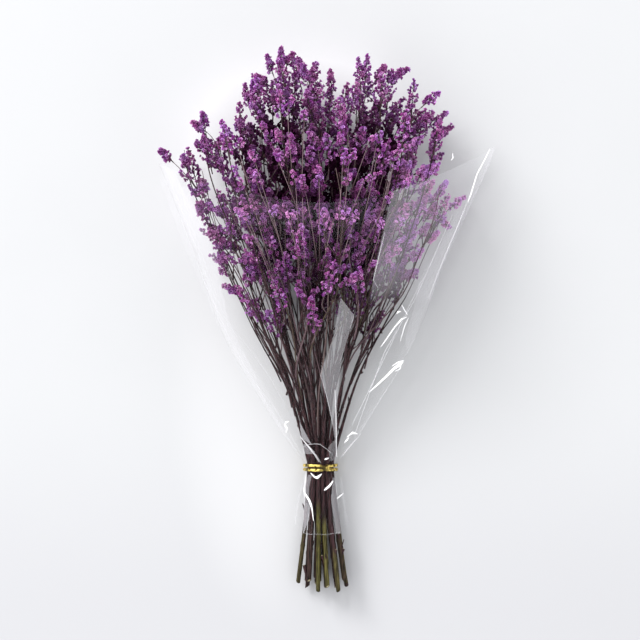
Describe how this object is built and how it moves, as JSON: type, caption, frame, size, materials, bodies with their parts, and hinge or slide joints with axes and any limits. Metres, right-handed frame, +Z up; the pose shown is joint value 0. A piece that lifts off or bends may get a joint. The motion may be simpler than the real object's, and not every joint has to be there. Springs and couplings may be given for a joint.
{
  "type": "preserved caspia sea lavender bunch",
  "caption": "Bunch of preserved caspia sea lavender lying on its side in a clear film sleeve, gathered round the stems by a gold twist tie.",
  "frame": {"origin": "on the surface that the bunch lies on, under the middle of its overall box", "axes": "+Y along the bunch from the cut ends to the flower tips, +Z up, +X to the right when seen from above with the flowers away from the viewer"},
  "size_m": [0.3354, 0.5374, 0.1241],
  "materials": {
    "flower": "matte dyed papery florets on thin dark stems",
    "stem": "matte dark woody stems",
    "film": "clear glossy creased film",
    "foil": "bright gold foil over wire"
  },
  "bodies": {
    "root": {"spray_01": "flower", "spray_02": "flower", "spray_03": "flower", "spray_04": "flower", "spray_05": "flower", "spray_06": "flower", "spray_07": "flower", "spray_08": "flower", "spray_09": "flower", "spray_10": "flower", "spray_11": "flower", "spray_12": "flower", "spray_13": "flower", "spray_14": "flower", "spray_15": "flower", "spray_16": "flower", "spray_17": "flower", "spray_18": "flower", "spray_19": "flower", "spray_20": "flower", "spray_21": "flower", "spray_22": "flower", "spray_23": "flower", "spray_24": "flower", "sleeve": "film", "tie": "foil"}
  },
  "joints": []
}
